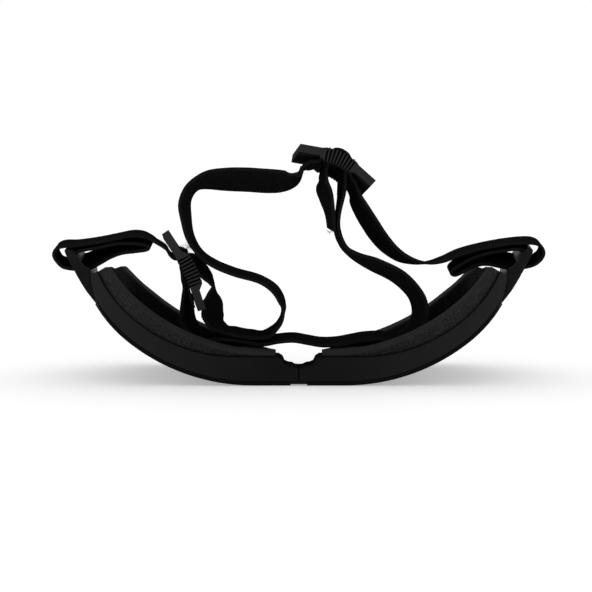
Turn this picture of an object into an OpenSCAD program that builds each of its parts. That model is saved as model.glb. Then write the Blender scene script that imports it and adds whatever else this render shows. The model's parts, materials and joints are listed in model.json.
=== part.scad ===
// Strap-on pet goggles, lying on their lens fronts with the head side up.
// X runs from the left temple to the right one, Y from the brow edge to the cheek edge,
// Z up from the lens fronts.

/* [Lens] */
// Half of the flat stretch across both lens fronts
flat_half = 18; // [14:0.5:20]
// Radius of each lens front beyond the flat stretch
lens_r = 77; // [74:0.5:82]
// Lens thickness
lens_t = 1.5; // [1:0.1:1.8]
// Gap between lens and rim
lens_gap = 0.15; // [0.1:0.05:0.3]
// Distance of each lens end from the centre
lens_inner = 4; // [3:0.5:6]

/* [Rim] */
// Size of the rim from brow edge to cheek edge
rim_depth = 56; // [54:1:60]
// Height of the rim's head side at the nose
rim_rise = 11.1; // [10.6:0.1:11.4]
// Radius of the rim's head side
rim_r = 61.2; // [60.5:0.1:62]
// Where the rim's head side starts to curve
rim_bend_x = 24.6; // [24:0.1:25.2]
// Rim wall thickness
wall = 2; // [1.5:0.1:2.6]
// Width of the flange that carries the foam
flange_w = 8.5; // [7:0.5:9]
// Thickness of that flange
flange_t = 2; // [1.4:0.1:2.6]
// Gap between the two halves at the seam
seam_gap = 0.04; // [0.02:0.01:0.1]
// Size of the nose bridge from brow edge to cheek edge
bridge_depth = 12; // [10:0.5:13]

/* [Face foam] */
// Height of the padded face at the nose
face_rise = 12.8; // [12.6:0.1:13]
// Radius of the padded face
face_r = 77.5; // [77:0.1:78]
// Where the padded face starts to curve
face_bend_x = 11.1; // [10.8:0.1:12]
// Thickness of the fabric on the foam
fabric_t = 0.8; // [0.5:0.1:1.2]
// Step in from the rim's edge to the foam
foam_inset = 1.2; // [0.8:0.1:2]
// Distance from the centre to the foam's nose end
foam_nose = 9; // [8.6:0.1:9.6]
// Slope of the foam's temple end, down towards the cheek edge
foam_slope = 9.5; // [0:0.5:11]

/* [Straps] */
// Webbing width
strap_w = 20; // [16:0.5:20.5]
// Webbing thickness
strap_t = 1.2; // [0.8:0.1:1.3]

/* [Outriggers] */
// Half width of the wing at its foot
wing_foot = 17; // [15:0.5:19]
// Half width of the wing at its tip
wing_tip = 14; // [13:0.5:15]
// Height of the wing's tip
wing_top = 51.2; // [50.5:0.1:51.4]
// How far the wing's tip flares out beyond the lens curve
wing_flare = 1.6; // [0:0.1:2]
// Height of the strap slot in the wing
wing_slot_z = 43; // [42.8:0.1:43.2]
// Opening of that slot
wing_slot = 3.6; // [3.2:0.1:3.8]

/* [Sliders] */
// Slider length along the strap
slider_l = 32; // [30:0.5:34]
// Slider width across the strap
slider_w = 26; // [25.5:0.5:28]
// Plate thickness
slider_t = 3.2; // [2.4:0.1:3.3]
// Slope of each end of the left slider
left_bend = 8; // [6:1:10]
// Slope of each end of the top slider
top_bend = 16; // [14:1:17]
// Half width of the centre bar
bar_half = 1.6; // [1.2:0.1:1.7]
// Half thickness of the centre bar
bar_thin = 1; // [0.8:0.1:1.1]
// Distance from the centre to each slot's outer edge
slot_end = 7; // [6.8:0.1:7.6]
// Room between the strap's edge and the slot's side
slot_side = 0.5; // [0.4:0.1:1]
// Number of thumb ribs on each edge
rib_count = 8; // [5:1:9]
// Distance from rib to rib
rib_pitch = 1.4; // [1.2:0.1:1.5]
// Height of the thumb ribs
rib_h = 0.5; // [0.3:0.1:0.8]
// How far the thumb grips stand out beyond the plate's edges
grip_out = 0.8; // [0.4:0.1:1.2]
// How far the grips stand out from one face of the plate
grip_rise = 1.8; // [1:0.1:2]

/* [Hidden] */
$fn = 96;

far = 200;
strip_low = 0.5;
brow = -rim_depth / 2;
cheek = rim_depth / 2;
ring_w = flange_w + foam_inset;
slot_w = strap_w + 2 * slot_side;
black = [0.06, 0.06, 0.065];
slate = [0.12, 0.12, 0.125];

// Steps in from the lens curve, each at its height: rim end, foam end, inner edge of the wing
temple = steps_in([[31, 1.05], [35, 2.24], [39, 3.77], [43, 5.48]]);
foam_end = steps_in([[44.2, 8.26], [47.1, 15.56]]);
wing_inner = steps_in([[43.6, 5.38], [44.8, 3.55], [47.6, 2.77], [50.6, 1.73], [wing_top, 0.7]]);

// Front view of one half: corner, then fillet radius
side_x = temple[3].x + 1.4;
outline = [
  [seam_gap / 2, brow, 0], [side_x - 9, brow, 14], [side_x, brow + 12, 8], [side_x, 12, 10],
  [side_x - 11, cheek - 1, 8], [side_x - 25, cheek, 8], [40, 20, 14], [26, 13, 8],
  [16.5, -4, 6], [9, brow + bridge_depth, 3], [seam_gap / 2, brow + bridge_depth, 0]
];

// Eye opening of one half: corner, then fillet radius
eye = [
  [21, brow + ring_w, 3], [side_x - 13, brow + ring_w, 8], [side_x - ring_w, brow + ring_w + 6, 5],
  [side_x - ring_w, 9, 6], [side_x - 15, cheek - ring_w - 1, 6], [side_x - 25, cheek - ring_w, 6],
  [43, 10.5, 10], [31, 3.5, 6], [25.5, -7, 4]
];

// Stepped notch over the bridge, from the seam outwards
notch = [
  [0, 6.7], [1.5, 6.8], [2.8, 7.5], [4.3, 7.7], [5.6, 8.3], [6, 9.2], [6.4, 10.1], [8.4, rim_rise + 0.4]
];

// Slider places: centre, slope down to the right, tilt of the cheek edge, slope of each end, grip side
left_place = [[-44.4, 0, 42.3], 65, -5, left_bend, 1];
top_place = [[14.7, 0, 84.6], 26, -16, top_bend, -1];

// Heights over each slider's middle where the straps are parted from what rides on it
run_cut_left = -5.2;
run_cut_top = -5.8;
hump_cut = 5.2;
chin_cut_left = -8;
chin_cut_top = -26;
cut_gap = 0.4;
trim_reach = 4;
trim_room = 0.05;

// Webbing routes: x, y, z, then how far the cheek-side edge leans in x and in z for each unit of width
left_loop = [
  [-72.5, 0, 53.5, 0, 0], [-67, 0, 53.6, 0, 0], [-62, 0, 53.2, 0, 0], [-59.2, 0, 52.2, 0, 0],
  [-60, 0, 51, 0, 0], [-65, 0, 50.9, 0, 0.03], [-70, 0, 50.6, 0, 0.09], [-74.5, 0, 49.4, 0, 0.14],
  [-78.5, 0, 47.4, 0, 0.14], [-82, 0, 45.6, 0, 0.07], [-85.5, 0, 44.7, 0, 0.02], [-90, 0, 44.4, 0, 0],
  [-92.9, 0, 44.7, 0, 0], [-95, 0, 46, 0, 0], [-96.3, 0, 47.9, 0, 0], [-96.6, 0, 49.6, 0, 0],
  [-95.6, 0, 51.6, 0, 0], [-93, 0, 52.7, 0, 0], [-88.2, 0, 52.9, 0, 0], [-80, 0, 53.9, 0, -0.02]
];
left_lead = [
  [-72, 0, 55.4, 0, -0.04], [-66.5, 0, 56.4, 0, -0.04], [-62.6, -0.1, 56.2, -0.02, -0.02],
  [-59.6, -0.3, 55.2, -0.06, -0.03], on(left_place, -16, -6.9), on(left_place, -14.1, run_cut_left - cut_gap)
];
left_weave = [
  for (p = [
    [-13, run_cut_left + cut_gap], [-11.7, -4.15], [-10.3, -3.85], [-8.8, -3.75], [-6.8, -2.9], [-5.4, -1],
    [-4.2, 1.1], [-2.7, 2.95], [0, 3.7], [2.8, 4.1], [5.2, hump_cut - cut_gap]
  ]) on(left_place, p.x, p.y)
];
middle_run = [
  for (p = [[6, hump_cut + cut_gap], [7.6, 6.1], [10.5, 6.1]]) on(left_place, p.x, p.y),
  [-33.6, 0, 31.8, 0.04, 0], [-32.9, -0.5, 28.6, 0.18, 0], [-33.1, -1.3, 25.4, 0.2, 0],
  [-33.3, -2.5, 22.4, 0.16, 0], [-31.8, -4.3, 20, 0.1, 0],
  [-28, -6.2, 18.7, 0.05, 0], [-23, -7.5, 17.7, 0, 0], [-18, -7.5, 17.1, 0, 0], [-12.5, -6, 17.6, 0, 0],
  [-8, -4, 21.6, 0, 0], [-6.4, -2, 27.5, 0.05, 0], [-9.2, -1, 33.8, 0.05, 0], [-15.5, 0, 38.1, 0, 0],
  [-25.4, 0, 41, 0, 0], [-33.6, 0, 44.4, 0, 0], [-39.2, 0, 48.6, 0, 0], [-43.1, 0, 55, 0.06, 0],
  [-44.7, 0, 62.5, 0.12, 0], [-45.1, 0, 69.4, 0.17, -0.05], [-42, 0, 75, 0.15, -0.2],
  [-36, 0, 77.6, 0, -0.45], [-28, -0.2, 78, 0, -0.57], [-20, -0.6, 77.9, 0, -0.6],
  [-13, -1.1, 77.5, 0, -0.6], [-7.5, -1.5, 77.6, -0.02, -0.56], [-3, -1.9, 78.7, -0.06, -0.46],
  [0, -2.2, 80.8, -0.12, -0.28],
  on(top_place, -11.2, -8.2), on(top_place, -10.1, run_cut_top - cut_gap)
];
top_weave = [
  for (p = [
    [-9.3, run_cut_top + cut_gap], [-8, -4.95], [-6.4, -3.4], [-5.2, -1], [-4.1, 1.2], [-2.7, 2.95], [0, 3.6],
    [2.7, 2.95], [4.1, 1.2], [5, -0.8], [6.1, -3], [7.6, -4.6], [9.3, run_cut_top + cut_gap]
  ]) on(top_place, p.x, p.y)
];
right_run = [
  on(top_place, 10.2, run_cut_top - cut_gap), on(top_place, 11.9, -7.8),
  [23.2, -2.4, 69.6, -0.17, -0.31], [25.6, -2.2, 65, -0.2, -0.34], [28.6, -1.9, 60, -0.23, -0.31],
  [32, -1.6, 54.9, -0.24, -0.27], [36, -1.2, 50.4, -0.2, -0.25], [41, -0.8, 46.8, -0.1, -0.25],
  [46.5, -0.4, 45, 0, -0.2], [52, -0.2, 44.8, 0, -0.12], [57.5, 0, 46.2, 0, -0.05], [63, 0, 48.6, 0, 0]
];
right_loop = [
  [74, 0, 49.4, 0, 0], [69, 0, 48, 0, 0], [64, 0, 45.4, 0, 0], [61, 0, 43.2, 0, 0], [60.2, 0, 41.6, 0, 0],
  [62, 0, 41, 0, 0], [66, 0, 43.4, 0, 0.03], [70.5, 0, 46.2, 0, 0.08], [75, 0, 47.2, 0, 0.12],
  [80, 0, 46.4, 0, 0.1], [85, 0, 45.3, 0, 0.03], [90.5, 0, 45.2, 0, 0], [93.6, 0, 45.9, 0, 0],
  [95.9, 0, 47.8, 0, 0], [96.6, 0, 50.2, 0, 0], [95.2, 0, 52.8, 0, 0], [91, 0, 53.9, 0, 0],
  [82, 0, 53.1, 0, 0], [71.5, 0, 51.1, 0, 0], [63.5, 0, 48.8, 0, 0]
];
left_bar_loop = [
  for (p = [
    [14.2, -4.2], [11, -3.7], [8, -3.25], [5.7, -2.65], [4, -1.9], [2.9, -0.9], [2.5, 0.2], [2.1, 1.5],
    [0, 1.9], [-2.1, 1.5], [-2.5, 0.1], [-2.2, -1.4], [-0.8, -2.15], [1, -2.6], [3, -3.3], [4.6, -3.9],
    [6, -4.3], [8, -4.8], [10, -5.25], [11.8, -5.9], [13.4, -6.7], [15.2, chin_cut_left + cut_gap]
  ]) on(left_place, p.x, p.y)
];
chin_run = [
  on(left_place, 16.9, chin_cut_left - cut_gap), [-44.6, -1.2, 21, -0.06, -0.03],
  [-41.4, -4, 17.6, 0, 0], [-36.5, -6, 15.9, 0, 0],
  [-31, -7.5, 16.4, 0, 0], [-26, -7.5, 16.1, 0, 0], [-21, -7.5, 15.4, 0, 0], [-14, -7.5, 14.4, 0, 0],
  [-8, -7.5, 15.4, 0, 0], [-2, -7.5, 15.8, 0, 0], [4, -7.5, 14.8, 0, 0], [9, -7.5, 14, 0, 0],
  [15, -7.5, 14.2, 0, 0], [21, -7.5, 15.3, 0, 0], [26, -7.5, 16.2, 0, 0], [32, -7.5, 16.5, 0, 0],
  [38.5, -7, 15.9, 0, 0], [44, -6, 17.7, -0.1, 0], [47.4, -5, 21.6, -0.2, 0], [48.2, -4.2, 27, -0.26, -0.05],
  [46, -3.6, 33, -0.28, -0.15], [39.4, -3.2, 39.6, -0.24, -0.28], [30, -3.2, 44.4, -0.2, -0.3],
  [23.4, -3.3, 47.4, -0.16, -0.2], [19.2, -3.3, 50.2, -0.14, -0.1], [17.4, -3.3, 52.4, -0.13, -0.04],
  [16.4, -3.3, 54.4, -0.12, -0.02]
];
top_bar_loop = concat(
  [
    [16, -3.3, 55.4, -0.12, -0.02], [15.3, -3.3, 58, -0.1, 0], [15.1, -3.3, 61.5, -0.06, 0],
    [15.7, -3.2, 66, -0.04, -0.02]
  ],
  [
    for (p = [
      [7.2, -10.2], [6.1, -7.4], [5, -4.8], [3.9, -2.5], [2.9, -0.9], [2.5, 0.2], [2.1, 1.5], [0, 1.9],
      [-2.1, 1.5], [-2.5, 0], [-2.9, -2.6], [-2.9, -5.4], [-1.6, -8.4]
    ]) on(top_place, p.x, p.y)
  ],
  [
    [9.9, -2.7, 74.5, -0.24, -0.22], [11.1, -2.9, 69.8, -0.22, -0.12], [12, -3.1, 66, -0.17, -0.06],
    [12.5, -3.2, 62.6, -0.13, -0.03], [12.9, -3.3, 58.4, -0.11, 0]
  ]
);

function unit(v) = v / norm(v);
function left_of(v) = [-v.y, v.x];
function flat2(p) = [p.x, p.y];

// Corners of an outline moved inwards by d, with their fillets
function inset(p, d) = [
  for (i = [0 : len(p) - 1])
    let (
      a = unit(flat2(p[i]) - flat2(p[(i + len(p) - 1) % len(p)])),
      b = unit(flat2(p[(i + 1) % len(p)]) - flat2(p[i])),
      turn = a.x * b.y - a.y * b.x,
      q = flat2(p[i]) + (left_of(a) + left_of(b)) * d / (1 + a * b)
    )
    [q.x, q.y, p[i].z == 0 ? 0 : max(0.5, p[i].z - sign(turn) * d)]
];

// Points of an outline with its corners rounded
function rounded(p, steps = 5) = [
  for (i = [0 : len(p) - 1])
    let (
      c = flat2(p[i]),
      a = unit(flat2(p[(i + len(p) - 1) % len(p)]) - c),
      b = unit(flat2(p[(i + 1) % len(p)]) - c),
      half = acos(a * b) / 2,
      centre = c + unit(a + b) * p[i].z / sin(half),
      start = c + a * p[i].z / tan(half) - centre,
      side = sign(a.x * b.y - a.y * b.x)
    )
    for (k = p[i].z == 0 ? [0] : [0 : steps])
      let (w = -side * (180 - 2 * half) * k / steps)
      centre + [start.x * cos(w) - start.y * sin(w), start.x * sin(w) + start.y * cos(w)]
];

// A line that runs flat from the centre to x and then bends up with radius r
function bent(rise, x, r, sweep = 70, steps = 28) = concat(
  [[0, rise]],
  [for (k = [0 : steps]) let (w = sweep * k / steps) [x + r * sin(w), rise + r * (1 - cos(w))]]
);

function lens_line(d) = bent(d, flat_half, lens_r - d);
function rim_line(d) = bent(rim_rise - d, rim_bend_x, rim_r + d);
function face_line(d) = bent(face_rise - d, face_bend_x, face_r + d);
function backwards(p) = [for (i = [len(p) - 1 : -1 : 0]) p[i]];

// Distance of the lens front from the centre at a height
function lens_x(z) = flat_half + lens_r * sin(acos(1 - z / lens_r));

// Points at given heights, each a step in from the lens front
function steps_in(p) = [for (q = p) [lens_x(q.x) - q.y, q.x]];

// Outer edge of the wing between two heights, from the upper one down
function wing_front(low, high, steps = 8) = [
  for (k = [0 : steps])
    let (rise = (high - low) * (1 - k / steps))
    [lens_x(low + rise) + wing_flare * rise / (high - low), low + rise]
];

// Front-view column of the outline moved inwards by d
module column(d) {
  linear_extrude(far, center = true) polygon(rounded(inset(outline, d)));
}

module eye_hole() {
  linear_extrude(far, center = true) polygon(rounded(eye));
}

// Side-view slab of a profile drawn in X and Z
module slab() {
  rotate([90, 0, 0]) linear_extrude(far, center = true) children();
}

module between(lower, upper) {
  polygon(concat(lower, backwards(upper)));
}

// Everything beyond the rim's side at the temple
module beyond_temple() {
  polygon(concat(temple, [[temple[3].x, far], [far, far], [far, temple[0].y]]));
}

// Everything above the sloping temple end of rim and foam
module above_end() {
  fall = (foam_end[1].y - foam_end[0].y) / (foam_end[0].x - foam_end[1].x);
  corner = foam_end[1] + 10 * [-1, fall];
  translate([0, brow, 0]) rotate([-foam_slope, 0, 0]) translate([0, -brow, 0]) slab()
    polygon([corner, foam_end[0] + 10 * [1, -fall], [far, far], [corner.x, far]]);
}

module mirror_half(left) {
  mirror([left ? 1 : 0, 0, 0]) children();
}

// Rim half: an open-fronted wall with a flange for the foam and a stepped notch at the seam
module frame(left) {
  color(slate) mirror_half(left) difference() {
    intersection() {
      column(0);
      slab() difference() {
        between(lens_line(lens_t + lens_gap), rim_line(0));
        polygon(concat(notch, [[8.4, 40], [-1, 40], [-1, notch[0].y]]));
        beyond_temple();
      }
    }
    eye_hole();
    above_end();
    intersection() {
      column(wall);
      slab() intersection() {
        between(lens_line(lens_t), rim_line(flange_t));
        translate([10, 0]) square([temple[0].x - wall - 10, far]);
      }
    }
  }
}

module bridge_strip(left) {
  color(black) mirror_half(left) translate([seam_gap / 2, brow + 0.4, strip_low])
    cube([lens_inner - lens_gap - seam_gap / 2, bridge_depth - 0.8, lens_t + lens_gap - strip_low]);
}

module lens(left) {
  color([0.03, 0.03, 0.035]) mirror_half(left) intersection() {
    column(0);
    slab() difference() {
      between(lens_line(0), lens_line(lens_t));
      translate([-1, -1]) square([lens_inner + 1, 20]);
      beyond_temple();
    }
  }
}

// One layer of the padded face ring
module face_ring(lower, upper) {
  difference() {
    intersection() {
      column(foam_inset);
      slab() intersection() {
        between(lower, upper);
        translate([foam_nose, 0]) square([foam_end[0].x - foam_nose, far]);
      }
    }
    eye_hole();
    above_end();
  }
}

module foam(left) {
  color([0.1, 0.1, 0.1]) mirror_half(left) face_ring(rim_line(0), face_line(fabric_t));
}

module face_fabric(left) {
  color([0.18, 0.18, 0.18]) mirror_half(left) face_ring(face_line(fabric_t), face_line(0));
}

// Strap wing: thick where it meets the rim's end, thin at the tip, with a slot for the webbing
module outrigger(left) {
  color(black) mirror_half(left) difference() {
    intersection() {
      slab() polygon(concat(temple, wing_inner, wing_front(temple[0].y, wing_top)));
      rotate([90, 0, 90]) linear_extrude(far)
        polygon(rounded([
          [-wing_foot, 20, 0], [wing_foot, 20, 0], [wing_foot, 36, 6],
          [wing_tip, wing_slot_z, 6], [wing_tip, wing_top + 1, 3.5], [-wing_tip, wing_top + 1, 3.5],
          [-wing_tip, wing_slot_z, 6], [-wing_foot, 36, 6]
        ]));
    }
    translate([70, -slot_w / 2, wing_slot_z]) cube([40, slot_w, wing_slot]);
  }
}

module placed(place) {
  translate(place[0]) rotate([0, place[1], 0]) rotate([place[2], 0, 0]) children();
}

// Bowed plate with two slots, a thin centre bar and ribbed thumb grips
module slider(place) {
  bend = place[3];
  bow = slot_end / sin(bend);
  edge = (slider_w - slot_w) / 2;
  high = slider_t / 2 + (place[4] > 0 ? grip_rise : 0.3);
  low = slider_t / 2 + (place[4] > 0 ? 0.3 : grip_rise);
  color(black) placed(place) difference() {
    union() {
      rotate([90, 0, 0]) linear_extrude(slider_w, center = true) slider_side(bend);
      for (k = [0, 1]) mirror([0, k, 0]) {
        intersection() {
          rotate([90, 0, 0]) linear_extrude(far, center = true) grip_side(bend, high, low);
          linear_extrude(far, center = true) grip_plan(slider_w / 2 - edge, slider_w / 2);
        }
        for (i = [0 : rib_count - 1])
          translate([0, 0, -bow]) rotate([0, (i - (rib_count - 1) / 2) * rib_pitch / bow * 180 / PI, 0])
            translate([-rib_pitch / 4, slider_w / 2, bow - low - 0.15])
              cube([rib_pitch / 2, grip_out + rib_h, high + low + 0.3]);
      }
    }
    difference() {
      cube([2 * slot_end, slot_w, 20], center = true);
      cube([2 * bar_half, slot_w + 1, 2 * bar_thin], center = true);
    }
  }
}

// Point on the bowed plate: share of the bend from the middle, height over its centre line
function bowed(bend, share, d) =
  let (bow = slot_end / sin(bend))
  [(bow + d) * sin(bend * share), (bow + d) * cos(bend * share) - bow];

function slider_edge(bend, d) =
  let (reach = (slider_l / 2 - slot_end) / cos(bend), run = reach * [cos(bend), -sin(bend)])
  concat(
    [bowed(bend, -1, d) + [-run.x, run.y]],
    [for (k = [-4 : 4]) bowed(bend, k / 4, d)],
    [bowed(bend, 1, d) + run]
  );

module slider_side(bend) {
  between(slider_edge(bend, -slider_t / 2), slider_edge(bend, slider_t / 2));
}

module grip_side(bend, high, low) {
  polygon([
    for (p = [
      [-1.22, slider_t / 2 - 0.2], [-0.84, high], [-0.42, high], [0, high], [0.42, high], [0.84, high],
      [1.22, slider_t / 2 - 0.2], [1.22, 0.2 - slider_t / 2], [0.84, -low], [0.42, -low], [0, -low],
      [-0.42, -low], [-0.84, -low], [-1.22, 0.2 - slider_t / 2]
    ]) bowed(bend, p.x, p.y)
  ]);
}

module grip_plan(inner, outer) {
  half = 1.22 * slot_end;
  polygon([
    [-half, inner], [half, inner], [half, outer], [half - 1.6, outer + grip_out],
    [1.6 - half, outer + grip_out], [-half, outer]
  ]);
}

// Smooth run through the points of a route
function spline(p, i, t) =
  let (
    a = p[max(0, i - 1)], b = p[i], c = p[i + 1], d = p[min(len(p) - 1, i + 2)]
  )
  (2 * b + (c - a) * t + (2 * a - 5 * b + 4 * c - d) * t * t + (3 * b - 3 * c + d - a) * t * t * t) / 2;

function smooth(p, steps) = [
  for (i = [0 : len(p) - 2]) for (k = [0 : steps - 1]) spline(p, i, k / steps),
  p[len(p) - 1]
];

function place_of(q) = [q[0], q[1], q[2]];

function untilted(place) = [place[0], place[1], 0];

// Direction out of a slider's domed side
function facing(place) = [cos(place[2]) * sin(place[1]), -sin(place[2]), cos(place[2]) * cos(place[1])];

// Route point on a slider: s along its travel, n out of its domed side
function on(place, s, n) =
  let (p = place[0] + s * [cos(place[1]), 0, -sin(place[1])] + n * facing(place))
  concat(p, tan(place[2]) * [sin(place[1]), cos(place[1])]);

// Four corners of the webbing at one point of its route
function webbing_ring(q, along) =
  let (
    t = unit(along),
    lean = [q[3], 1, q[4]],
    side = unit(lean - t * (t * lean)),
    w = side * strap_w / 2,
    n = cross(t, side) * strap_t / 2,
    c = place_of(q)
  )
  [c - w - n, c + w - n, c + w + n, c - w + n];

// A ring slid along its own strap until it lies in the plane [slider place, height over its middle]
function trimmed(ring, along, cut) =
  let (t = unit(along), out = facing(cut[0]), point = cut[0][0] + cut[1] * out)
  [for (c = ring) c + t * ((point - c) * out) / (t * out)];

// Whether a ring is well away from a trimmed end, or else all on the side to which the strap leads away
function clear_of(ring, gap, away, cut) =
  is_undef(cut) || gap > trim_reach ? true
  : let (out = facing(cut[0]), point = cut[0][0] + cut[1] * out)
    min([for (c = ring) (c - point) * out * sign(away * out)]) > trim_room;

// Webbing along a route, each end trimmed to its plane, without the rings that a trimmed end would pass
module webbing(p, start = undef, end = undef, steps = 3) {
  q = smooth(p, steps);
  tip = len(q) - 1;
  along = [for (i = [0 : tip]) place_of(q[min(tip, i + 1)]) - place_of(q[max(0, i - 1)])];
  rings = [
    for (i = [0 : tip])
      let (
        r = webbing_ring(q[i], along[i]),
        cut = i == 0 ? start : i == tip ? end : undef
      )
      if (i == 0 || i == tip || clear_of(r, norm(place_of(q[i] - q[0])), along[0], start)
        && clear_of(r, norm(place_of(q[i] - q[tip])), -along[tip], end))
        is_undef(cut) ? r : trimmed(r, along[i], cut)
  ];
  last = len(rings) - 1;
  points = [for (r = rings) for (c = r) c];
  sides = [
    for (i = [0 : last - 1]) for (k = [0 : 3])
      let (a = 4 * i + k, b = 4 * i + (k + 1) % 4)
      for (f = [[b + 4, b, a], [a + 4, b + 4, a]]) f
  ];
  ends = [
    [0, 1, 2], [0, 2, 3],
    [4 * last + 2, 4 * last + 1, 4 * last], [4 * last + 3, 4 * last + 2, 4 * last]
  ];
  color(black) polyhedron(points, concat(sides, ends));
}

module head_strap_left_run() {
  webbing(concat(left_loop, left_lead), undef, [left_place, run_cut_left - cut_gap / 2]);
}

module head_strap_left_weave() {
  webbing(left_weave, [left_place, run_cut_left + cut_gap / 2], [left_place, hump_cut - cut_gap / 2]);
}

module head_strap_middle_run() {
  webbing(middle_run, [left_place, hump_cut + cut_gap / 2], [top_place, run_cut_top - cut_gap / 2]);
}

module head_strap_top_weave() {
  webbing(top_weave, [top_place, run_cut_top + cut_gap / 2], [top_place, run_cut_top + cut_gap / 2]);
}

module head_strap_right_run() {
  webbing(right_run, [top_place, run_cut_top - cut_gap / 2]);
}

module head_strap_right_loop() {
  webbing(right_loop);
}

module chin_strap_left_end() {
  webbing(left_bar_loop, undef, [left_place, chin_cut_left + cut_gap / 2]);
}

module chin_strap_run() {
  webbing(chin_run, [left_place, chin_cut_left - cut_gap / 2],
    [untilted(top_place), chin_cut_top - cut_gap / 2]);
}

module chin_strap_top_end() {
  webbing(top_bar_loop, [untilted(top_place), chin_cut_top + cut_gap / 2]);
}

frame(true);  // frame_left
frame(false);  // frame_right
bridge_strip(true);  // bridge_strip_left
bridge_strip(false);  // bridge_strip_right
lens(true);  // lens_left
lens(false);  // lens_right
foam(true);  // foam_left
foam(false);  // foam_right
face_fabric(true);  // face_fabric_left
face_fabric(false);  // face_fabric_right
outrigger(true);  // outrigger_left
outrigger(false);  // outrigger_right
slider(left_place);  // slider_left
slider(top_place);  // slider_top
head_strap_left_run();
head_strap_left_weave();
head_strap_middle_run();
head_strap_top_weave();
head_strap_right_run();
head_strap_right_loop();
chin_strap_left_end();
chin_strap_run();
chin_strap_top_end();
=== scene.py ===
# Strap-on pet goggles, lying lens side down with the straps loose on top
import bpy
import json
import math
import random
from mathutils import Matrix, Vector


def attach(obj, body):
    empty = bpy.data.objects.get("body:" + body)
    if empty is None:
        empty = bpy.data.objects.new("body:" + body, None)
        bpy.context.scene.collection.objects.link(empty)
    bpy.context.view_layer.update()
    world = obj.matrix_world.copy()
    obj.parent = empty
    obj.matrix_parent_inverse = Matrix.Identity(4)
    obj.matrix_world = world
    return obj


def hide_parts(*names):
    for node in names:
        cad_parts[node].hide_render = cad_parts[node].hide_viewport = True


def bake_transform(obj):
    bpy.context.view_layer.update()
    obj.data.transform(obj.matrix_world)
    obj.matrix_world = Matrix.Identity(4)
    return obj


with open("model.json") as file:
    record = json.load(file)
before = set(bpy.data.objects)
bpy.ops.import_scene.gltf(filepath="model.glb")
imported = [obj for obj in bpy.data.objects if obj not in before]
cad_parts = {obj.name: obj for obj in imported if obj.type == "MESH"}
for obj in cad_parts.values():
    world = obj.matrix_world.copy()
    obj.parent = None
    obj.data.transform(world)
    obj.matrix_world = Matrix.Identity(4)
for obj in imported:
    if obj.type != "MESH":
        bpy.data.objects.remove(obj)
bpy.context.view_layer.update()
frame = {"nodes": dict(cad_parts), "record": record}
mm = 0.001
scene = bpy.context.scene
print("frame loaded")


class Value:
    def __init__(self, finish, socket):
        self.finish, self.socket = finish, socket

    def maths(self, operation, *others):
        return self.finish.node("Math", {"operation": operation}, dict(enumerate(others)))

    def __add__(self, other): return self.maths("ADD", self, other)
    def __radd__(self, other): return self.maths("ADD", other, self)
    def __sub__(self, other): return self.maths("SUBTRACT", self, other)
    def __rsub__(self, other): return self.maths("SUBTRACT", other, self)
    def __mul__(self, other): return self.maths("MULTIPLY", self, other)
    def sine(self): return self.maths("SINE", self)
    def cosine(self): return self.maths("COSINE", self)
    def size(self): return self.maths("ABSOLUTE", self)
    def over(self, other): return self.maths("GREATER_THAN", self, other)
    def most(self, other): return self.maths("MAXIMUM", self, other)


class Finish:
    def __init__(self, name, **constants):
        self.material = bpy.data.materials.new(name)
        self.material.use_nodes = True
        self.tree = self.material.node_tree
        self.shader = self.tree.nodes["Principled BSDF"]
        for socket, value in constants.items():
            self.shader.inputs[socket.replace("_", " ")].default_value = value

    def node(self, kind, settings=None, values=None, out=0):
        made = self.tree.nodes.new("ShaderNode" + kind)
        for key, value in (settings or {}).items():
            if key == "stops":
                ramp = made.color_ramp
                for i, (place, tone) in enumerate(value):
                    stop = ramp.elements[i] if i < 2 else ramp.elements.new(place)
                    stop.position, stop.color = place, (tone, tone, tone, 1)
            else:
                setattr(made, key, value)
        for key, value in (values or {}).items():
            self.put(made.inputs[key], value)
        return Value(self, made.outputs[out])

    def put(self, socket, value):
        if isinstance(value, Value):
            self.tree.links.new(value.socket, socket)
        elif hasattr(value, "__len__") and len(value) == 3 and socket.type == "RGBA":
            socket.default_value = (*value, 1)
        else:
            socket.default_value = value

    def place(self):
        return self.node("TexCoord", out="Object")

    def along(self, map="strap"):
        return self.node("UVMap", {"uv_map": map})

    def facing(self):
        return self.node("TexCoord", out="Normal")

    def parts(self, vector):
        return [self.node("SeparateXYZ", None, {0: vector}, out=k) for k in range(3)]

    def offset(self, vector, start):
        return self.node("VectorMath", {"operation": "SUBTRACT"}, {0: vector, 1: start})

    def share(self, vector, way):                        # how far a vector reaches in a direction
        return self.node("VectorMath", {"operation": "DOT_PRODUCT"}, {0: vector, 1: tuple(way)}, out=1)

    def noise(self, scale, detail=3, roughness=0.5, vector=None):
        values = {"Vector": vector or self.place(), "Scale": scale, "Detail": detail, "Roughness": roughness}
        return self.node("TexNoise", None, values)

    def between(self, factor, dark, light):
        return self.node("Mix", {"data_type": "RGBA"}, {0: factor, 6: dark, 7: light}, out=2)

    def ramp(self, factor, *stops):
        return self.node("ValToRGB", {"stops": stops}, {0: factor})

    def bump(self, height, depth, strength=1.0):
        return self.node("Bump", None, {"Strength": strength, "Distance": depth, "Height": height})

    def use(self, **values):
        for socket, value in values.items():
            self.put(self.shader.inputs[socket.replace("_", " ")], value)
        return self.material


# where the two sliders are, which way they lie and how much each is bowed
leftPlace = {"centre": (-44.4, 0, 42.3), "slope": 65, "tilt": -5, "bend": 8}
topPlace = {"centre": (14.7, 0, 84.6), "slope": 26, "tilt": -16, "bend": 16}


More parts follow.
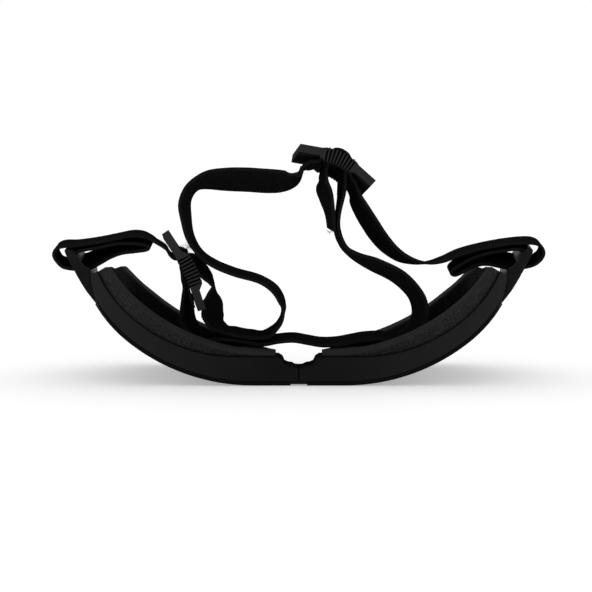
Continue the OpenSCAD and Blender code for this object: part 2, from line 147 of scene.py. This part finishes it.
def ways(place):                                         # along a slider's travel, and out of its domed side
    slope, tilt = math.radians(place["slope"]), math.radians(place["tilt"])
    out = (math.cos(tilt) * math.sin(slope), -math.sin(tilt), math.cos(tilt) * math.cos(slope))
    return Vector((math.cos(slope), 0, -math.sin(slope))), Vector(out)


# the frame's painted shade: crease half-width, nose-notch half-width, up-facing limit and notch shade
# strength
rubber = {"crease": 0.00022, "notch": 0.0135, "upward": 0.4, "shade": 0.3}


def mouldedRubber():
    f = Finish("mouldedRubber", Specular_IOR_Level=0)
    x = f.parts(f.place())[0]
    crease = 1 - x.size().over(rubber["crease"])         # painted shade along the crease where the two halves meet
    upward = f.parts(f.facing())[2].over(rubber["upward"])
    notchShade = upward * (1 - x.size().over(rubber["notch"]))
    grain = f.noise(2600, 2)
    cloud = f.noise(70, 4)
    scuff = f.ramp(f.noise(420, 6, 0.7), (0.55, 0), (0.75, 1))
    # painted light: the frame gets lighter towards its temple ends
    toEnd = f.ramp(x.size() * 12, (0.15, 0), (0.95, 1))
    mix = cloud * 0.25 + scuff * 0.15 + toEnd * 0.6
    tone = f.between(mix, (0.0085, 0.0085, 0.0088), (0.027, 0.027, 0.0278))
    # painted shade: near-black along the crease and on the up-facing faces in the nose notch
    tone = f.between(crease.most(notchShade * rubber["shade"]), tone, (0.0004, 0.0004, 0.0004))
    return f.use(Base_Color=tone, Roughness=0.5 + cloud * 0.16, Normal=f.bump(grain + cloud * 0.6, 0.00005))


def smokedLens():
    f = Finish("smokedLens", IOR=1.5, Specular_IOR_Level=0.04, Coat_Roughness=0.08)
    cloud = f.noise(30, 2)
    tone = f.between(cloud, (0.0008, 0.0008, 0.001), (0.0018, 0.0018, 0.0022))
    return f.use(Base_Color=tone, Roughness=0.2 + cloud * 0.08, Coat_Weight=0.02)


def wingPlastic():
    f = Finish("wingPlastic", IOR=1.5, Specular_IOR_Level=0.01)
    grain = f.noise(3200, 2)
    cloud = f.noise(260, 5, 0.6)
    tone = f.between(cloud, (0.006, 0.006, 0.0062), (0.019, 0.019, 0.0195))
    return f.use(Base_Color=tone, Roughness=0.3 + cloud * 0.16, Normal=f.bump(grain + cloud, 0.00003))


nylon = {"slotEnd": 0.007, "ribPitch": 0.0014, "ribsReach": 0.0059, "reach": 0.02}


def sliderNylon():
    f = Finish("sliderNylon", Specular_IOR_Level=0)
    grain = f.noise(2400, 3)
    cloud = f.noise(90, 4)
    tone = f.between(cloud, (0.025, 0.025, 0.0255), (0.038, 0.038, 0.0385))
    # painted shade: dark between the ribs and darker on each slider's underside
    for place in (leftPlace, topPlace):
        grooveShade, underShade = sliderShade(f, place)
        tone = f.between(grooveShade, tone, (0.0012, 0.0012, 0.0013))
        tone = f.between(underShade, tone, (0.011, 0.011, 0.0113))
    return f.use(Base_Color=tone, Roughness=0.55 + cloud * 0.14, Normal=f.bump(grain, 0.00004))


def sliderShade(f, place):                               # painted shade between a slider's ribs, and on its underside
    travel, out = ways(place)
    offset = f.offset(f.place(), tuple(c * mm for c in place["centre"]))
    along, rise = f.share(offset, travel), f.share(offset, out)
    bow = nylon["slotEnd"] / math.sin(math.radians(place["bend"]))
    turn = f.node("Math", {"operation": "ARCTAN2"}, {0: along, 1: rise + bow})
    near = 1 - along.size().most(rise.size()).over(nylon["reach"])
    wave = (turn * (math.tau * bow / nylon["ribPitch"])).cosine() * 0.5 + 0.5
    ribShade = f.ramp(wave, (0.3, 0), (0.6, 1)) * (1 - along.size().over(nylon["ribsReach"])) * near
    outward = f.share(f.facing(), out)
    return ribShade * (1 - outward.size().over(0.9)), (outward * -1).over(0.5) * near


def foamCell():
    f = Finish("foamCell", Specular_IOR_Level=0)
    cells = f.node("TexVoronoi", {"feature": "F1"}, {"Vector": f.place(), "Scale": 1500.0})
    fleck = f.ramp(f.noise(1300, 3, 0.65), (0.4, 0), (0.62, 1))
    pore = f.ramp(cells, (0.15, 0), (0.5, 1))
    cloud = f.noise(160, 4)
    toEnd = f.ramp(f.parts(f.place())[0].size() * 12, (0.3, 0), (0.95, 1))
    mix = fleck * 0.42 + pore * 0.18 + cloud * 0.12 + toEnd * 0.28
    tone = f.between(mix, (0.0032, 0.0032, 0.0033), (0.039, 0.039, 0.0395))
    return f.use(Base_Color=tone, Roughness=0.92, Normal=f.bump(cells + fleck * 0.6, 0.0002))


def brushedCloth():
    f = Finish("brushedCloth", Specular_IOR_Level=0, Sheen_Weight=0.02, Sheen_Roughness=0.4)
    fuzz = f.noise(2200, 5, 0.7)
    cloud = f.noise(130, 3)
    tone = f.between(fuzz * 0.6 + cloud * 0.4, (0.014, 0.014, 0.0144), (0.038, 0.038, 0.0385))
    return f.use(Base_Color=tone, Roughness=0.95, Normal=f.bump(fuzz, 0.00012))


def elasticWebbing():
    f = Finish("elasticWebbing", Specular_IOR_Level=0, Sheen_Weight=0.006, Sheen_Roughness=0.4)
    u, v = f.parts(f.along())[:2]
    pick = (u * (math.tau / weave["pick"])).sine()       # picks across the strap
    wale = (v * (math.tau / weave["wale"])).sine()       # elastic cords along it
    over = pick * (wale * 0.5 + 0.5)
    fuzz = f.noise(3000, 4, 0.7)
    wear = f.noise(240, 3)
    # painted highlight: the webbing is lighter in a thin band along both edges
    hem = f.ramp((v - 0.01).size() * 100, (0.88, 0), (0.97, 1))
    mix = over * 0.2 + fuzz * 0.4 + wear * 0.25 + hem * 0.4
    tone = f.between(mix, (0.001, 0.001, 0.00105), (0.0145, 0.0145, 0.0149))
    return f.use(Base_Color=tone, Roughness=0.9, Normal=f.bump(over * 0.6 + wale * 0.25 + fuzz * 0.4, 0.0002))


def sewingThread():
    f = Finish("sewingThread", Specular_IOR_Level=0)
    x, _, z = f.parts(f.place())
    twist = ((x + z) * (math.tau / weave["twist"])).sine()
    tone = f.between(twist * 0.5 + 0.5, (0.004, 0.004, 0.0042), (0.016, 0.016, 0.0165))
    return f.use(Base_Color=tone, Roughness=0.6)


weave = {"pick": 0.00105, "wale": 0.0014, "twist": 0.0005}
finishes = {
    "frame": mouldedRubber(), "lens": smokedLens(), "outrigger": wingPlastic(), "slider": sliderNylon(),
    "foam": foamCell(), "faceFabric": brushedCloth(), "webbing": elasticWebbing(), "thread": sewingThread(),
}
finishes["bridge_strip"] = finishes["frame"]
print("finishes made")

stage = {
    "tilt": 8, "distance": 1.0, "focal": 156.8, "aim": (-1.1, -28, 35.3),
    "floorSize": 6, "floorDrop": 0.0001, "floorGlow": 0.36, "surround": 0.5,
    "lamps": [("top", 0.75, 70, (-15, 0)), ("left", 0.45, 60, (-25, -62)), ("right", 0.45, 60, (-25, 62))],
}


def setStage():
    tilt = math.radians(stage["tilt"])
    aim = Vector(stage["aim"]) * mm
    lens = bpy.data.cameras.new("camera")
    lens.lens, lens.sensor_width = stage["focal"], 36
    camera = bpy.data.objects.new("camera", lens)
    scene.collection.objects.link(camera)
    camera.location = aim - stage["distance"] * Vector((0, math.cos(tilt), -math.sin(tilt)))
    camera.rotation_euler = (math.pi / 2 - tilt, 0, 0)
    scene.camera = camera

    bpy.ops.object.select_all(action="DESELECT")
    bpy.ops.mesh.primitive_plane_add(size=stage["floorSize"], location=(0, 0, -stage["floorDrop"]))
    floor = bpy.context.object
    floor.name = "floor"
    paper = Finish("paper", Roughness=0.9, Specular_IOR_Level=0.0)
    paper.use(Base_Color=(0.8, 0.8, 0.8), Emission_Color=(1, 1, 1), Emission_Strength=stage["floorGlow"])
    floor.data.materials.append(paper.material)

    world = scene.world or bpy.data.worlds.new("world")
    scene.world = world
    world.use_nodes = True
    tree = world.node_tree
    tree.nodes.clear()
    seen = tree.nodes.new("ShaderNodeLightPath")
    shown = seen.outputs["Is Camera Ray"]                # white where it is seen, also in gloss
    for ray in ("Is Glossy Ray", "Is Transmission Ray"):
        either = tree.nodes.new("ShaderNodeMath")
        either.operation = "MAXIMUM"
        tree.links.new(shown, either.inputs[0])
        tree.links.new(seen.outputs[ray], either.inputs[1])
        shown = either.outputs[0]
    backdrops = []
    for strength in (stage["surround"], 1.0):
        backdrop = tree.nodes.new("ShaderNodeBackground")
        backdrop.inputs[0].default_value = (1, 1, 1, 1)
        backdrop.inputs[1].default_value = strength
        backdrops.append(backdrop)
    mix = tree.nodes.new("ShaderNodeMixShader")
    output = tree.nodes.new("ShaderNodeOutputWorld")
    tree.links.new(shown, mix.inputs[0])
    for i, backdrop in enumerate(backdrops):
        tree.links.new(backdrop.outputs[0], mix.inputs[1 + i])
    tree.links.new(mix.outputs[0], output.inputs[0])

    for name, strength, spread, turn in stage["lamps"]:
        light = bpy.data.lights.new(name, "SUN")
        light.energy, light.angle = strength, math.radians(spread)
        lamp = bpy.data.objects.new(name, light)
        scene.collection.objects.link(lamp)
        lamp.rotation_euler = (math.radians(turn[0]), math.radians(turn[1]), 0)


setStage()
scene.view_settings.view_transform = "Standard"
print("stage set")


# rigid pieces: the sharp model edges get the small rounds that moulding leaves
rounds = {"frame": 0.3, "bridge_strip": 0.15, "lens": 0.22, "outrigger": 0.45, "slider": 0.16}
moulding = {"weld": 0.000004, "flat": 0.6, "sharp": 32, "smooth": 38, "steps": 2}
centre = {"seam": 0.00008, "halfGap": 0.000004, "lensEnd": 0.0062, "lensReach": 0.0008}


def softenEdges(kind, name, node):
    bpy.ops.object.select_all(action="DESELECT")
    piece = node.copy()
    piece.data = node.data.copy()
    piece.parent = None
    piece.name = name + "Moulded"
    scene.collection.objects.link(piece)
    piece.matrix_world = node.matrix_world
    piece.select_set(True)
    bpy.context.view_layer.objects.active = piece
    bpy.ops.object.transform_apply(location=True, rotation=True, scale=True)
    bpy.ops.object.mode_set(mode="EDIT")
    bpy.ops.mesh.select_all(action="SELECT")
    bpy.ops.mesh.remove_doubles(threshold=moulding["weld"])
    bpy.ops.mesh.dissolve_limited(angle_limit=math.radians(moulding["flat"]))
    bpy.ops.mesh.select_mode(type="EDGE")
    bpy.ops.mesh.select_all(action="DESELECT")
    bpy.ops.mesh.edges_select_sharp(sharpness=math.radians(moulding["sharp"]))
    bpy.ops.object.mode_set(mode="OBJECT")
    mesh = piece.data
    sharp = mesh.attributes.new("bevel_weight_edge", "FLOAT", "EDGE")
    for edge in mesh.edges:
        atSeam = all(abs(mesh.vertices[k].co.x) < centre["seam"] for k in edge.vertices)
        sharp.data[edge.index].value = 1 if edge.select and not atSeam else 0
    soft = piece.modifiers.new("rounds", "BEVEL")
    soft.width, soft.segments, soft.limit_method = rounds[kind] * mm, moulding["steps"], "WEIGHT"
    bpy.ops.object.modifier_apply(modifier="rounds")
    for vertex in mesh.vertices:                         # halves touch at the crease, lenses reach the strip
        if abs(vertex.co.x) < centre["seam"]:
            vertex.co.x = math.copysign(centre["halfGap"], vertex.co.x)
        elif kind == "lens" and abs(vertex.co.x) < centre["lensEnd"]:
            vertex.co.x -= math.copysign(centre["lensReach"], vertex.co.x)
    bpy.ops.object.shade_smooth_by_angle(angle=math.radians(moulding["smooth"]))
    piece.data.materials.clear()
    piece.data.materials.append(finishes[kind])
    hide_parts(name)
    for body, nodes in bodies.items():
        if name in nodes:
            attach(piece, body)


bodies = frame["record"]["behaviour"]["bodies"]
for name, node in frame["nodes"].items():
    for kind in rounds:
        if name.startswith(kind):
            softenEdges(kind, name, node)
print("moulded pieces rounded")

strap = {
    "width": 20, "thickness": 1.2, "spacing": 0.26, "stepsAcross": 10, "scallop": 0.11, "hem": 0.3,
    "hemSteps": 2, "smooth": 60, "finePerPoint": 24,
}


def on(place, s, n, twist=0):                            # s along a slider's travel, n out of its domed side
    slope, tilt = math.radians(place["slope"]), math.radians(place["tilt"])
    travel, out = ways(place)
    spot = Vector(place["centre"]) + s * travel + n * out
    lean = math.tan(tilt) + twist
    return (*spot, lean * math.sin(slope), lean * math.cos(slope))


def smoothRoute(route):                                  # even rings: middle, way across, length so far
    fine, marks, last = [], [], len(route) - 1
    for i in range(last):
        a, b, c, d = (Vector(route[min(max(k, 0), last)]) for k in (i - 1, i, i + 1, i + 2))
        marks.append(len(fine))
        for t in (k / strap["finePerPoint"] for k in range(strap["finePerPoint"])):
            fine.append((2 * b + (c - a) * t + (2 * a - 5 * b + 4 * c - d) * t ** 2
                         + (3 * b - 3 * c + d - a) * t ** 3) / 2)
    fine.append(Vector(route[last]))
    marks.append(len(fine) - 1)
    lengths = [0]
    for before, spot in zip(fine, fine[1:]):
        lengths.append(lengths[-1] + (Vector(spot[:3]) - Vector(before[:3])).length)
    count = round(lengths[-1] / strap["spacing"])
    rows, k = [], 0
    for i in range(count + 1):
        length = lengths[-1] * i / count
        while k < len(fine) - 2 and lengths[k + 1] < length:
            k += 1
        t = (length - lengths[k]) / max(1e-9, lengths[k + 1] - lengths[k])
        spot, ahead = fine[k].lerp(fine[k + 1], t), Vector((fine[k + 1] - fine[k])[:3]).normalized()
        lean = Vector((spot[3], 1, spot[4]))
        rows.append((Vector(spot[:3]), (lean - ahead * lean.dot(ahead)).normalized(), length))
    return rows, [round(lengths[m] / lengths[-1] * count) for m in marks]


def layStrap(name, rows):
    width, pitch = strap["width"], weave["pick"] / mm
    bpy.ops.object.select_all(action="DESELECT")
    bpy.ops.mesh.primitive_grid_add(x_subdivisions=len(rows) - 1, y_subdivisions=strap["stepsAcross"], size=1)
    piece = bpy.context.object
    piece.name = name
    mesh = piece.data
    uv = mesh.uv_layers[0]
    uv.name = "strap"
    flat = {}
    for vertex in mesh.vertices:                         # the flat grid is laid along the route
        spot, side, length = rows[round((vertex.co.x + 0.5) * (len(rows) - 1))]
        across = vertex.co.y
        reach = across * width
        if abs(across) > 0.49:                           # the picks swell a little at each edge
            reach += math.copysign(strap["scallop"] * math.sin(math.tau * length / pitch), across)
        flat[vertex.index] = (length * mm, (across + 0.5) * width * mm)
        vertex.co = (spot + side * reach) * mm
    for loop in mesh.loops:
        uv.data[loop.index].uv = flat[loop.vertex_index]
    mesh.materials.append(finishes["webbing"])
    solid = piece.modifiers.new("thickness", "SOLIDIFY")
    solid.thickness, solid.offset, solid.use_even_offset = strap["thickness"] * mm, 0, False
    bpy.ops.object.modifier_apply(modifier="thickness")
    hem = piece.modifiers.new("hem", "BEVEL")
    hem.width, hem.segments, hem.limit_method = strap["hem"] * mm, strap["hemSteps"], "ANGLE"
    hem.angle_limit = math.radians(strap["smooth"])
    bpy.ops.object.modifier_apply(modifier="hem")
    bpy.ops.object.shade_smooth_by_angle(angle=math.radians(strap["smooth"]))
    return piece


def through(place, *spots):                              # the part of a route that runs through a slider
    return [on(place, *spot) for spot in spots]


# Each route is one strap, as x, y, z in mm along its middle and the lean of its width in x and z.
# A number in it is a place where the mesh is parted.
headStrap = [
    (-91.5, 0, 49.4, 0, 0.04), (-86, 0, 51.1, 0, 0.04), (-79, 0, 52.2, 0, 0.03), (-72.5, 0, 53.4, 0, 0),
    (-67, 0, 53.6, 0, 0), (-62, 0, 53.2, 0, 0), (-59.2, 0, 52.2, 0, 0), (-60, 0, 51, 0, 0),
    (-65, 0, 50.9, 0, 0.06), (-70, 0, 50.6, 0, 0.1), (-74.5, 0, 49.4, 0, 0.15), (-78.5, 0, 47.6, 0, 0.2),
    (-82, 0, 46, 0, 0.22), (-85.5, 0, 45, 0, 0.18), (-90, 0, 44.5, 0, 0.1), (-92.9, 0, 44.8, 0, 0.06),
    (-95, 0, 46, 0, 0), (-96.3, 0, 47.9, 0, 0), (-96.6, 0, 49.6, 0, 0), (-95.6, 0, 51.4, 0, 0),
    (-93, 0, 52.3, 0, 0), (-88.2, 0, 52.6, 0, -0.02), (-80, 0, 53.7, 0, -0.02), (-72, 0, 55.3, 0, -0.02),
    (-66.5, 0, 56.4, 0, -0.02), (-62.6, -0.1, 56.2, -0.02, -0.02), (-59.6, -0.3, 55.2, -0.06, -0.03),
    *through(leftPlace, (-16, -6.9), (-13.5, -5.2), (-11.7, -4.15), (-10.3, -3.85), (-8.8, -3.75),
             (-6.8, -2.9), (-5.6, -0.9), (-4.4, 1.3, 0.05), (-2.7, 3.4, 0.14)),
    1, *through(leftPlace, (0, 4.5, 0.2), (2.8, 5.2, 0.2), (5.4, 6, 0.16), (7.8, 6.6, 0.1),
                (10.5, 6.5, 0.05)),
    (-34.2, 0, 31.8, 0.16, 0), (-34.2, -0.5, 28.6, 0.34, 0), (-34.4, -1.3, 25.4, 0.38, 0),
    2, (-34, -2.5, 22.4, 0.26, 0), (-31.8, -4.3, 20, 0.1, 0), (-28, -6.2, 18.7, 0.05, 0),
    (-23, -7.5, 17.7, 0, 0), (-18, -7.5, 17.1, 0, 0), (-12.5, -6, 17.6, 0, 0), (-8, -4, 21.6, 0, 0),
    (-6.4, -2, 27.5, 0.05, 0),
    (-9.2, -1, 33.8, 0.05, 0), (-15.5, 0, 38.1, 0, 0), (-25.4, 0, 41, 0, 0), (-33.6, 0, 44.4, 0, 0),
    (-39.2, 0, 48.6, 0, 0), (-43.1, 0, 55, 0.06, 0), (-44.7, 0, 62.5, 0.12, 0), (-45.1, 0, 69.4, 0.17, -0.05),
    (-42, 0, 75, 0.15, -0.2), (-36, 0, 77.6, 0, -0.45),
    3, (-28, -0.2, 78, 0, -0.57), (-20, -0.6, 77.9, 0, -0.6), (-13, -1.1, 77.5, 0, -0.6),
    (-7.5, -1.5, 77.6, -0.02, -0.56), (-3, -1.9, 78.7, -0.06, -0.46), (0, -2.2, 80.8, -0.12, -0.28),
    *through(topPlace, (-11.2, -8.2), (-9.8, -5.9), (-8, -4.95), (-6.4, -3.4), (-5.2, -1), (-4.1, 1.2),
             (-2.7, 2.95)),
    4, *through(topPlace, (0, 3.6), (2.7, 2.95), (4.1, 1.2), (5, -0.8), (6.1, -3), (7.6, -4.6), (9.7, -5.8),
                (11.9, -7.8)),
    (23.2, -2.4, 69.6, -0.17, -0.31), (25.6, -2.2, 65, -0.2, -0.34), (28.6, -1.9, 60, -0.23, -0.31),
    5, (32, -1.6, 54.9, -0.24, -0.27), (36, -1.2, 50.4, -0.2, -0.25), (41, -0.8, 46.8, -0.1, -0.25),
    (46.5, -0.4, 45, 0, -0.18), (52, -0.2, 44.8, 0, -0.1), (57.5, 0, 46.2, 0, -0.04),
    (63.5, 0, 48.8, 0, -0.02), (71.5, 0, 51.1, 0, -0.02), (82, 0, 53.1, 0, -0.02), (91, 0, 53.7, 0, 0),
    (95.1, 0, 52.7, 0, 0),
    (96.6, 0, 50.2, 0, 0), (95.9, 0, 47.9, 0, 0.02), (93.6, 0, 46, 0, 0.05), (90.5, 0, 45.3, 0, 0.1),
    (85, 0, 45.3, 0, 0.18), (80, 0, 46.1, 0, 0.2), (75, 0, 46.8, 0, 0.17), (70.5, 0, 45.9, 0, 0.11),
    (66, 0, 43.3, 0, 0.05), (62, 0, 41, 0, 0), (60.2, 0, 41.6, 0, 0), (61, 0, 43.2, 0, 0),
    (64, 0, 45.4, 0, 0.02), (69, 0, 48, 0, 0.02), (74, 0, 49.7, 0, 0.02), (80, 0, 50.8, 0, 0.02),
    (86, 0, 51.4, 0, 0.02), (92, 0, 50.4, 0, 0.02),
]
chinStrap = [
    *through(leftPlace, (14.2, -4.2), (11, -3.7), (8, -3.25), (5.7, -2.65), (4, -1.9), (2.9, -0.9),
             (2.5, 0.2), (2.1, 1.5), (0, 1.9), (-2.1, 1.5), (-2.5, 0.1), (-2.2, -1.4), (-0.8, -2.15),
             (1, -2.6), (3, -3.3), (4.6, -3.9), (6, -4.3, 0.04), (8, -4.8, 0.12), (10, -5.2, 0.2),
             (11.8, -5.7, 0.26), (13.4, -6.4, 0.3), (16, -7.6, 0.3)),
    (-44, -1.2, 21, 0.2, 0.08),
    1, (-41.4, -4, 17.6, 0, 0), (-36.5, -6, 15.9, 0, 0), (-31, -7.5, 16.4, 0, 0), (-26, -7.5, 16.1, 0, 0),
    (-21, -7.5, 15.4, 0, 0), (-14, -7.5, 14.4, 0, 0), (-8, -7.5, 15.4, 0, 0), (-2, -7.5, 15.8, 0, 0),
    (4, -7.5, 14.8, 0, 0), (9, -7.5, 14, 0, 0), (15, -7.5, 14.2, 0, 0), (21, -7.5, 15.3, 0, 0),
    (26, -7.5, 16.2, 0, 0), (32, -7.5, 16.5, 0, 0), (38.5, -7, 15.9, 0, 0), (44, -6, 17.7, -0.1, 0),
    (47.4, -5, 21.6, -0.2, 0), (48.2, -4.2, 27, -0.26, -0.05), (46, -3.6, 33, -0.28, -0.15),
    (39.4, -3.2, 39.6, -0.24, -0.28),
    2, (30, -3.2, 44.4, -0.2, -0.3), (23.4, -3.3, 47.4, -0.16, -0.2), (19.2, -3.3, 50.2, -0.14, -0.1),
    (17.4, -3.3, 52.4, -0.13, -0.04), (16.2, -3.3, 54.8, -0.12, -0.02), (15.3, -3.3, 58, -0.1, 0),
    (15.1, -3.3, 61.5, -0.06, 0), (15.7, -3.2, 66, -0.04, -0.02),
    *through(topPlace, (7.2, -10.2), (6.1, -7.4), (5, -4.8), (3.9, -2.5), (2.9, -0.9), (2.5, 0.2), (2.1, 1.5),
             (0, 1.9), (-2.1, 1.5), (-2.5, 0), (-2.9, -2.6), (-2.9, -5.4), (-1.6, -8.4)),
    (9.9, -2.7, 74.5, -0.24, -0.22), (11.1, -2.9, 69.8, -0.22, -0.12), (12, -3.1, 66, -0.17, -0.06),
    (12.5, -3.2, 62.6, -0.13, -0.03), (12.9, -3.3, 58.4, -0.11, 0),
]


def spotOn(place, s):
    return tuple(c * mm for c in on(place, s, 0)[:3])


def ringsOf(route):
    return smoothRoute([p for p in route if not isinstance(p, int)])


def layRoute(route, pieces):                             # pieces: name, nodes it stands for, what it rides on
    rows, marks = ringsOf(route)
    parts = [i - k for k, i in enumerate(i for i, p in enumerate(route) if isinstance(p, int))]
    ends = [0, *(marks[i] for i in parts), len(rows) - 1]
    for (name, nodes, rides), start, end in zip(pieces, ends, ends[1:]):
        piece = layStrap(name, rows[start:end + 1])
        if nodes:
            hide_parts(*nodes)
        if isinstance(rides, str):
            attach(piece, rides)
        else:
            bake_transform(piece)


seams = {
    "thread": 0.3, "zigzag": 0.75, "length": 2.6, "inset": 1, "proud": 0.05, "fuzz": 0.11, "bends": 7,
    "headings": ((-1, 1), (-0.6, 0.6), (-0.4, 1)),
}


def layThreads(name, paths, thick, body):                # sewing thread as thin tubes through points in mm
    bpy.ops.object.select_all(action="DESELECT")
    bpy.ops.curve.primitive_bezier_curve_add(location=(0, 0, 0))
    thread = bpy.context.object
    thread.name = name
    curve = thread.data
    curve.splines.clear()
    curve.dimensions, curve.bevel_depth, curve.bevel_resolution = "3D", thick / 2 * mm, 1
    curve.use_fill_caps = True
    for path in paths:
        spline = curve.splines.new("POLY")
        spline.points.add(len(path) - 1)
        for point, spot in zip(spline.points, path):
            point.co = (*(Vector(spot) * mm), 1)
    bpy.ops.object.convert(target="MESH")
    bpy.ops.object.shade_smooth_by_angle(angle=math.radians(strap["smooth"]))
    thread.data.materials.append(finishes["thread"])
    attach(thread, body)


def barTack(rows, row, face):                            # zigzag across the webbing, on one of its faces
    width = strap["width"] - 2 * seams["inset"]
    path, steps = [], round(width / seams["zigzag"])
    for k in range(steps + 1):
        swing = seams["length"] / 2 * (1 if k % 2 else -1)
        spot, side, length = rows[min(len(rows) - 1, max(0, row + round(swing / strap["spacing"])))]
        ahead = (rows[min(len(rows) - 1, row + 2)][0] - rows[max(0, row - 2)][0]).normalized()
        across = (k / steps - 0.5) * width
        lift = strap["thickness"] / 2 + seams["proud"]
        path.append(spot + side * across + face * lift * ahead.cross(side))
    return path


def fuzz(seed, middle, spread, count, length):           # short loose ends, curling away from a spot
    random.seed(seed)
    paths = []
    for k in range(count):
        spot = Vector(middle) + Vector([random.uniform(-1, 1) * reach for reach in spread])
        heading = Vector([random.uniform(*reach) for reach in seams["headings"]]).normalized()
        path = [spot]
        for j in range(seams["bends"]):
            turn = Vector([random.uniform(-0.7, 0.7) for axis in range(3)])
            heading = (heading + turn).normalized()
            path.append(path[-1] + heading * length / seams["bends"])
        paths.append(path)
    return paths


def rowNear(rows, x, z):                                 # the ring of a strap that lies nearest to a spot
    return min(range(len(rows)), key=lambda i: (rows[i][0].x - x) ** 2 + (rows[i][0].z - z) ** 2)


layRoute(headStrap, [
    ("headStrapLeftEnd", ["head_strap_left_run", "head_strap_left_weave"],
     ("left_half", "left_slider", spotOn(leftPlace, -23), spotOn(leftPlace, -14))),
    ("headStrapLeftDrop", [], ("left_slider", "left_half", spotOn(leftPlace, 6), spotOn(leftPlace, 14))),
    ("headStrapMiddle", ["head_strap_middle_run"], "left_half"),
    ("headStrapTopRun", ["head_strap_top_weave"],
     ("left_half", "top_slider", spotOn(topPlace, -26), spotOn(topPlace, -15))),
    ("headStrapTopDrop", [], ("top_slider", "left_half", spotOn(topPlace, 12), spotOn(topPlace, 24))),
    ("headStrapRightEnd", ["head_strap_right_run", "head_strap_right_loop"],
     ("left_half", "right_half", (0.036, 0, 0.05), (0.06, 0, 0.05))),
])
layRoute(chinStrap, [
    ("chinStrapLeftEnd", ["chin_strap_left_end"],
     ("left_slider", "left_half", spotOn(leftPlace, 11), spotOn(leftPlace, 22))),
    ("chinStrapRun", ["chin_strap_run"], "left_half"),
    ("chinStrapTopEnd", ["chin_strap_top_end"],
     ("left_half", "top_slider", (0.024, 0, 0.047), (0.016, 0, 0.057))),
])
headRows, chinRows = ringsOf(headStrap)[0], ringsOf(chinStrap)[0]
layThreads("tackLeft", [barTack(headRows, rowNear(headRows, -65.5, 56.4), -1),
                        barTack(headRows, rowNear(headRows, -65.5, 50.8), -1)], seams["thread"], "left_half")
layThreads("tackRight", [barTack(headRows, rowNear(headRows, 66, 49.6), -1),
                         barTack(headRows, rowNear(headRows, 64, 42.2), -1)], seams["thread"], "right_half")
layThreads("tackTop", [barTack(chinRows, rowNear(chinRows, 12.9, 59.5), 1),
                       barTack(chinRows, rowNear(chinRows, 12.4, 63.5), 1)], seams["thread"], "top_slider")
layThreads("fuzzLeft", fuzz(4, (-64.8, -9.6, 57), (1.3, 0.8, 0.1), 7, 1.3)
           + fuzz(5, (-65, -9.6, 50.2), (1.3, 0.8, 0.2), 7, 1.2), seams["fuzz"], "left_half")
layThreads("fuzzRight", fuzz(6, (63.5, -9.6, 48.9), (3, 0.8, 0.3), 9, 1.2)
           + fuzz(7, (61.2, -9.8, 41.5), (1.2, 0.8, 0.8), 12, 1.6), seams["fuzz"], "right_half")
layThreads("fuzzHump", fuzz(8, (-44.6, -8.5, 51.4), (1.9, 1.6, 0.7), 26, 3), seams["fuzz"], "left_slider")
layThreads("fuzzTail", fuzz(9, (11.9, -12.6, 58.6), (0.9, 0.8, 0.5), 9, 1.8), seams["fuzz"], "top_slider")
print("webbing laid")


ring = {
    "voxel": 0.6, "soften": 2, "weld": 0.00002, "fill": 0.8,
    "height": 12.8, "flatTo": 11.1, "curve": 77.5, "clothDepth": 1.3,
}


def padRing(side):
    bpy.ops.object.select_all(action="DESELECT")
    copies = []
    for kind in ("foam", "face_fabric"):
        source = frame["nodes"][kind + "_" + side]
        copy = source.copy()
        copy.data = source.data.copy()
        copy.parent = None
        scene.collection.objects.link(copy)
        copy.matrix_world = source.matrix_world
        copy.select_set(True)
        copies.append(copy)
    bpy.context.view_layer.objects.active = copies[0]
    bpy.ops.object.join()
    pad = bpy.context.object
    pad.name = "facePad" + side.capitalize()
    bpy.ops.object.transform_apply(location=True, rotation=True, scale=True)
    bpy.ops.object.mode_set(mode="EDIT")
    bpy.ops.mesh.select_all(action="SELECT")
    bpy.ops.mesh.remove_doubles(threshold=ring["weld"])
    bpy.ops.object.mode_set(mode="OBJECT")
    remesh = pad.modifiers.new("even", "REMESH")
    remesh.mode, remesh.voxel_size = "VOXEL", ring["voxel"] * mm
    bpy.ops.object.modifier_apply(modifier="even")
    soft = pad.modifiers.new("soft", "SMOOTH")
    soft.iterations, soft.factor = ring["soften"], 0.5
    bpy.ops.object.modifier_apply(modifier="soft")
    bpy.ops.object.shade_smooth()
    pad.data.materials.clear()
    pad.data.materials.append(finishes["foam"])
    pad.data.materials.append(finishes["faceFabric"])
    for face in pad.data.polygons:                       # the cloth covers the side that meets the face
        x, z = abs(face.center.x) / mm, face.center.z / mm
        past = max(0, x - ring["flatTo"])
        rise = ring["height"] + ring["curve"] - math.sqrt(max(0, ring["curve"] ** 2 - past ** 2))
        face.material_index = 1 if z > rise - ring["clothDepth"] else 0
    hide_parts("foam_" + side, "face_fabric_" + side)
    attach(pad, side + "_half")


for side in ("left", "right"):
    padRing(side)
print("face pads made")
